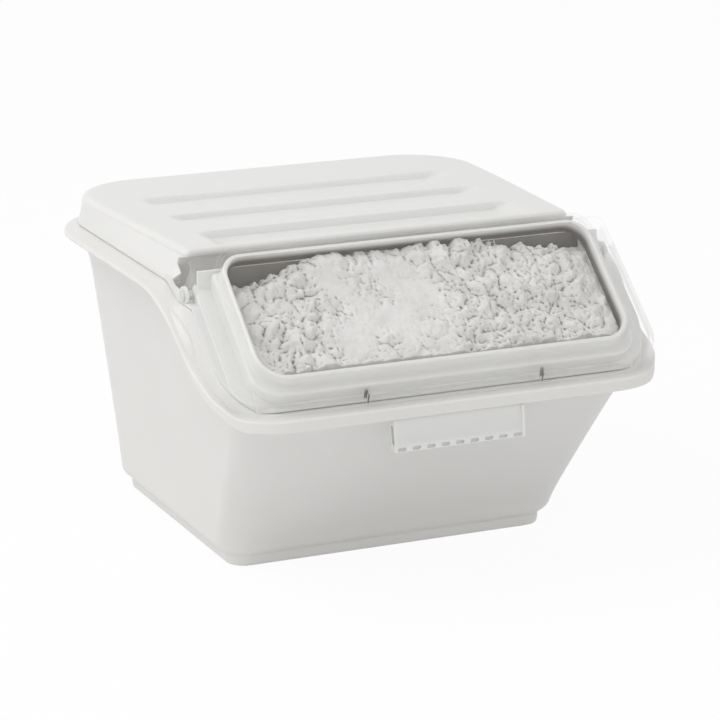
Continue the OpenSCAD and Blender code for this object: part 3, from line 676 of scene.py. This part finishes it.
# ---- clear door ----
def make_door():
    def ring(g, z, k):
        """Skirt outline: g outward of the base outline, k of it towards the hinge too."""
        return lift(outline(DOOR_HALF + g, DOOR_LEN + g, DOOR_BACK + k, 20 + g, 6, sn=30, cn=18, en=4), z)

    def window(g, z, back=None):
        """Outline of the raised window, g outward, and back towards the hinge where that differs."""
        b = g if back is None else back
        return lift(outline(OPEN_HALF + RIM_W + WIN_GAP + DOOR_T + g,
                            OPEN_LEN + RIM_W + WIN_GAP + DOOR_T + 3.5 + g,
                            DOOR_BACK + b, OPEN_R + 4 + g, OPEN_R - 4 + b, sn=30, cn=18, en=4), z)

    low, t = -DROP - SKIRT, DOOR_T
    out = rounded([(FLARE, low), (0.15, -DROP), (-12, -DROP)], [2.6], 8)
    ins = rounded([(FLARE + 0.1 - t, low - 0.1), (0.1 - t, -DROP - t), (-14, -DROP - t)], [0.8], 5)
    shell = combined(sloped(skin([ring(g, z, g if z < -8 else 0) for g, z in out[:-1]])), [
        ("DIFFERENCE", sloped(skin([ring(g, z, g) for g, z in ins[:-1]]))),
        ("DIFFERENCE", sloped(block(-200, 200, -13, 47, low - 1, -DROP - t))),
        ("DIFFERENCE", sloped(block(DOOR_HALF - 0.3, DOOR_HALF + 20, -13, 47, -20, 10))),
        ("DIFFERENCE", sloped(block(-DOOR_HALF - 20, -DOOR_HALF + 0.3, -13, 47, -20, 10)))])
    top = WIN_H - DROP
    wall = rounded([(0, -DROP + 3), (-0.9, top), (-9, top)], [3.0], 9)
    foot = [(1.7, -0.5), (1.6, -0.02), (0.75, 0.3), (0.25, 0.9), (0.05, 1.8)]
    box = sloped(skin([window(g, -DROP + z, 0) for g, z in foot] + [window(g, z) for g, z in wall[:-1]]))
    bore = rounded([(-t, -DROP), (-t - 0.7, top - t), (-9 - t, top - t)], [1.6], 7)
    hollow = sloped(skin([window(-t, -DROP - t - 0.1)] + [window(g, z) for g, z in bore[:-1]]))
    y0 = -DOOR_LEN - TAB_OUT
    tab_side = rounded([(-DOOR_LEN + 4, -DROP), (y0, -DROP), (y0 - 4, low + 2.1), (y0 - 2, low + 2.1),
                        (y0 + 1.8, -DROP - t), (-DOOR_LEN + 4, -DROP - t)], [2.0, 0.5, 0.5, 0.8], 5)
    tab = sloped(extrude_x(tab_side, -TAB_HALF, TAB_HALF))
    steps = [("UNION", box), ("UNION", tab), ("DIFFERENCE", hollow)]
    slit_x = TAB_HALF + 0.3
    for sx in (1, -1):
        x0, x1 = sx * slit_x - SLIT_W / 2, sx * slit_x + SLIT_W / 2
        steps.append(("DIFFERENCE", sloped(block(x0, x1, -DOOR_LEN - 20, -DOOR_LEN + 2.5,
                                                 low + 3.6, -DROP - 3.0))))
    for sx in (1, -1):
        x0, x1 = sorted((sx * LUG_IN, sx * (LUG_IN + LUG_T)))
        plate = [(-0.6, -26), (-0.6, -DROP - 1), (-17, -DROP - 1), (-14, -22), (-10, -31)]
        steps += [("UNION", extrude_x(circle(*HUB, LUG_R), x0, x1)),
                  ("UNION", sloped(extrude_x(plate, x0, x1)))]
    for sx in (1, -1):
        x0, x1 = sorted((sx * (LUG_IN - 1), sx * (LUG_IN + LUG_T + 1)))
        steps.append(("DIFFERENCE", extrude_x(circle(*HUB, PIN_D / 2 + PIN_PLAY, 64), x0, x1)))
    door = finished(combined(shell, steps), "clear_door", "door", ["flip_door"], door_mat)
    # the cut faces of the two slits get painted shade: dark, with fine saw marks
    door.data.materials.append(slit_shade_mat)
    for f in door.data.polygons:
        from_slit = abs(abs(f.center.x) / MM - slit_x)
        if abs(f.normal.x) > 0.8 and abs(from_slit - SLIT_W / 2) < 0.06:
            f.material_index = 1


# ---- pins ----
def make_pin(sx, name, replaced):
    prof = rounded([(LUG_IN - 0.3, 0.2), (LUG_IN - 0.3, PIN_D / 2), (COVER_HALF, PIN_D / 2),
                    (COVER_HALF, PIN_D / 2 + 1), (COVER_HALF + 1.4, PIN_D / 2 + 1), (COVER_HALF + 1.4, 0.2)],
                   [0.4, 0.1, 0.2, 0.6], 4)
    n = 48
    a = np.linspace(0, 2 * math.pi, n, endpoint=False)
    rings = [np.column_stack([np.full(n, sx * x), HUB[0] + r * np.cos(a), HUB[1] + sx * r * np.sin(a)])
             for x, r in prof]
    finished(skin(rings), name, "cover", [replaced], pin_mat, angle=40)


# ---- label pocket ----
def soft_block(x0, x1, y0, y1, z0, z1, r):
    """A block with all its edges rounded."""
    lo, hi = np.array([x0, y0, z0], float), np.array([x1, y1, z1], float)
    r = min(r, *(0.45 * (hi - lo)))
    rings = []
    soft = 0.3 * r
    for depth, z in [(r, z0), (soft, z0 + soft), (0, z0 + r), (0, z1 - r), (soft, z1 - soft), (r, z1)]:
        a = np.radians(np.linspace(0, 90, 5))
        rr = max(r - depth, 0.02)
        pts = []
        for cx, cy, start in [(x1 - r, y1 - r, 0), (x0 + r, y1 - r, 90),
                              (x0 + r, y0 + r, 180), (x1 - r, y0 + r, 270)]:
            for v in a + math.radians(start):
                pts.append((cx + rr * math.cos(v), cy + rr * math.sin(v), z))
        rings.append(np.array(pts))
    return skin(rings)


def make_label():
    half, low, depth, t, foot, bar, slots = 46.0, LIP_Z - 22.0, 6.0, 1.4, 10.0, 5.0, 9
    front = 1.4 - LIP_FRONT
    top = front + 2.4
    run = LIP_OVER - 11 + 2.5 * FRONT_SLOPE

    def under(y):
        """Height of the lip's underside less the gap to it."""
        return LIP_Z - 2.5 * (LIP_FRONT - 1 + y) / run - 0.1

    foot_z = under(top + foot)
    shell = rounded([(front + 1, low), (front, low), (top, under(top)), (top + foot, foot_z),
                     (top + foot, foot_z - t), (top + depth, foot_z - t - 1), (front + depth, low),
                     (front + 1, low)], [0.7, 0.2, 0.3, 0.3, 0.6, 0.6], 4)[:-1]
    inner = rounded([(front + t + 1, low + bar), (front + t, low + bar), (top + t, foot_z - 2 * t),
                     (top + depth - t, foot_z - 2 * t), (front + depth - t, low + bar),
                     (front + t + 1, low + bar)], [0.5, 0.5, 0.5, 0.5], 4)[:-1]
    bead = rounded([(front, low), (front - 1.2, low), (top - 1.2, under(top)), (top + 1, under(top + 1)),
                    (front + 1, low), (front, low)], [0.5, 0.5, 0.1, 0.1], 4)[:-1]
    steps = [("UNION", extrude_x(bead, half - 2, half)),
             ("DIFFERENCE", extrude_x(inner, -half - 2 * t, half - 2 * t))]
    pitch = 2 * half / slots
    for i in range(slots):
        x = pitch * (i + 0.5) - half
        steps.append(("DIFFERENCE", soft_block(x - pitch * 0.28, x + pitch * 0.28, front - 2, front + 2.4,
                                               low + bar * 0.12, low + bar * 0.6, 0.7)))
    finished(combined(extrude_x(shell, -half, half), steps), "label_pocket", "bin",
             ["label_holder"], label_mat)


# ---- flour ----
def make_flour():
    """The heap in the opening: a height field on the slope, smooth in the middle and rough at the sides."""
    noise.seed_set(POWDER_SEED)
    du = 0.7
    xs = np.arange(-134, 134.01, du)
    us = np.arange(-1.0, 104.01, du)
    X, U = np.meshgrid(xs, us)
    H = np.zeros_like(X)
    for r in range(X.shape[0]):
        for c in range(X.shape[1]):
            x, u = X[r, c], U[r, c]
            p = Vector((x, u, 0))
            big = noise.noise(p / 42) * 3.2
            away = min(1, max(0, (abs(x + 28) - 26) / 34))
            patch = 0.75 * noise.noise(p / 24 + Vector((7, 3, 0)))
            rough = min(1, max(0.08, 0.2 + 0.8 * away * away * (3 - 2 * away) + patch))
            w = p + 2.2 * noise.noise_vector(p / 9)
            h = -3.4
            for size, tall in ((15, 8.5), (7.5, 4.6), (3.6, 2.4)):
                h += tall * abs(noise.noise(w / size + Vector((0, 0, 3 * size)))) ** 0.85
            near, spots = noise.voronoi(w / 11)
            luck = math.sin(spots[0][0] * 91.7 + spots[0][1] * 47.3) * 0.5 + 0.5
            if luck > 0.62:
                h += 3.4 * luck * (1 - min(1, near[0] / (0.3 + 0.25 * luck)) ** 2) ** 0.5
            fine = noise.fractal(w / 3.4, 0.75, 2.1, 5)
            H[r, c] = big + rough * h + fine * (0.3 + 0.65 * rough)
    # stand-off from the opening's plane
    T = (-9.5 + 2.2 * step_in(U, 60, 96) - 3.0 * step_in(np.abs(X), 112, 130)
         + H * (1 - 0.6 * ease(np.abs(X), 106, 126)))
    T = T + 6.5 * (1 - ease(U, 0, 26)) * (1 - ease(np.abs(X + 8), 50, 92))
    # its ragged upper edge, lower towards both sides
    jag = np.array([5 * noise.noise(Vector((x / 9, 0, 2))) + 3 * noise.noise(Vector((x / 3.5, 0, 5)))
                    for x in xs])
    brink = 1.5 + 12 * ease(-X, 66, 112) + 9 * ease(X, 56, 108) + jag
    T = T - 30 * step_in(brink - U, 0, 16) - 5 * ease(brink + 12 - U, 0, 12)
    # clear of the rim, the cover and the door
    T = np.minimum(T, -3.2)
    T = np.where(U > 88, np.minimum(T, -12.4 - 0.4 * (U - 88)), T)
    T = np.where(np.abs(X) > 128.3, np.minimum(T, -12.4), T)
    T[0] = np.convolve(np.pad(T[1], 20, mode="edge"), np.ones(41) / 41, "valid") - 0.4
    P = on_slope(np.column_stack([X.ravel(), -U.ravel(), T.ravel()]))
    rows, cols = X.shape
    idx = np.arange(rows * cols).reshape(rows, cols)
    base = P.copy()
    base[:, 2] = np.minimum(P[:, 2] - 12, 120)
    verts = np.vstack([P, base])
    quads = np.column_stack([idx[:-1, :-1].ravel(), idx[1:, :-1].ravel(), idx[1:, 1:].ravel(),
                             idx[:-1, 1:].ravel()])
    faces = quads.tolist() + (quads + rows * cols)[:, ::-1].tolist()
    loop = np.concatenate([idx[0, :-1], idx[:-1, -1], idx[-1, :0:-1], idx[:0:-1, 0]])
    for a, b in zip(loop.tolist(), np.roll(loop, -1).tolist()):
        faces.append([a, b, b + rows * cols, a + rows * cols])
    heap = finished((verts, faces), "flour_fill", "bin", [], flour_mat, angle=None, weighted=False)
    # its upright sides are hidden by the cover, and keep the plain powder's colour
    heap.data.materials.append(bed_mat)
    for f in heap.data.polygons:
        if abs(f.normal.z) < 0.02:
            f.material_index = 1


def make_bed():
    """The flour behind the heap, level under the hinge channel."""
    top = 175.0

    def ring(z):
        up = z - BELLY_H
        return outline(WALL_H0 + SIDE_SLOPE * up - WALL - 0.6, 96, WALL_R0 + REAR_SLOPE * up - WALL - 0.6,
                       10, 19 + 0.13 * z, sn=90, cn=12, en=60)

    def settled(share):
        p = lift((ring(top - 5) - (0, 15)) * share + (0, 15), top - 5 * math.exp((share - 1) * 16))
        for q in p:
            v = Vector((q[0], q[1], 0))
            uneven = 2.0 * noise.noise(v / 46) + 0.9 * noise.noise(v / 13) + 0.8 * abs(noise.noise(v / 4))
            q[2] += min(1, 9 - 9 * share) * uneven
        return p

    rings = [lift(ring(top - 60), top - 60), lift(ring(top - 7), top - 7)]
    rings += [settled(share) for share in np.linspace(1, 0.015, 90)]
    finished(skin(rings), "flour_bed", "bin", [], bed_mat, angle=None, weighted=False)


make_bin()
make_cover()
make_door()
make_pin(-1, "pin_left", "hinge_pin_left")
make_pin(1, "pin_right", "hinge_pin_right")
make_label()
make_flour()
make_bed()


# ---- floor, light and camera ----
scene = bpy.context.scene
floor_mesh = mesh_of([(-6, -6, 0), (6, -6, 0), (6, 6, 0), (-6, 6, 0)], [(0, 1, 2, 3)], "floor")
floor = bpy.data.objects.new("floor", floor_mesh)
bpy.context.collection.objects.link(floor)


def seen_white(tree):
    """1 for rays that reach the eye directly, by a reflection or through clear plastic."""
    ray = tree.nodes.new("ShaderNodeLightPath").outputs
    first = node(tree, "ShaderNodeMath", {0: ray["Is Camera Ray"], 1: ray["Is Glossy Ray"]}, "Value",
                 operation="MAXIMUM")
    return node(tree, "ShaderNodeMath", {0: first, 1: ray["Is Transmission Ray"]}, "Value",
                operation="MAXIMUM")


WHITE = (1, 1, 1, 1)
paint_mat, tree, paint = principled("floor_paint", (0.95, 0.95, 0.95), 0.9, Specular_IOR_Level=0.0)
glow = node(tree, "ShaderNodeEmission", {"Color": WHITE, "Strength": 1.0}, "Emission")
share = node(tree, "ShaderNodeMath", {0: seen_white(tree), 1: 0.93}, "Value", operation="MULTIPLY")
blend = node(tree, "ShaderNodeMixShader", {0: share, 1: paint.outputs["BSDF"], 2: glow}, "Shader")
plug(tree, tree.nodes["Material Output"], {"Surface": blend})
floor_mesh.materials.append(paint_mat)

world = bpy.data.worlds.new("studio")
scene.world = world
world.use_nodes = True
tree = world.node_tree
sky = tree.nodes["Background"]
plug(tree, sky, {"Color": WHITE, "Strength": 0.69})
white = node(tree, "ShaderNodeBackground", {"Color": WHITE, "Strength": 1.0}, "Background")
mixed = node(tree, "ShaderNodeMixShader", {0: seen_white(tree), 1: sky.outputs["Background"], 2: white},
             "Shader")
plug(tree, tree.nodes["World Output"], {"Surface": mixed})


def lamp(name, place, target, power, size):
    data = bpy.data.lights.new(name, "AREA")
    data.energy, data.size, data.shape = power, size, "SQUARE"
    ob = bpy.data.objects.new(name, data)
    bpy.context.collection.objects.link(ob)
    ob.location = place
    ob.rotation_euler = (Vector(target) - Vector(place)).to_track_quat("-Z", "Y").to_euler()


lamp("key", (-1.5, 0.2, 1.9), (0, 0, 0.1), 16.5, 1.5)
lamp("fill", (-0.6, -2.2, 1.5), (0, 0, 0.1), 5, 1.6)

cam_data = bpy.data.cameras.new("camera")
cam_data.lens, cam_data.sensor_width = 160, 36
cam_data.shift_x, cam_data.shift_y = 0.0039, 0.0022
cam_data.clip_start, cam_data.clip_end = 0.05, 50
camera = bpy.data.objects.new("camera", cam_data)
bpy.context.collection.objects.link(camera)
camera.location = (-0.85763, -1.93501, 0.70996)
camera.rotation_euler = (math.radians(74.21), 0, math.radians(-24.05))
scene.camera = camera

scene.view_settings.view_transform = "Standard"
scene.cycles.transparent_max_bounces = 32
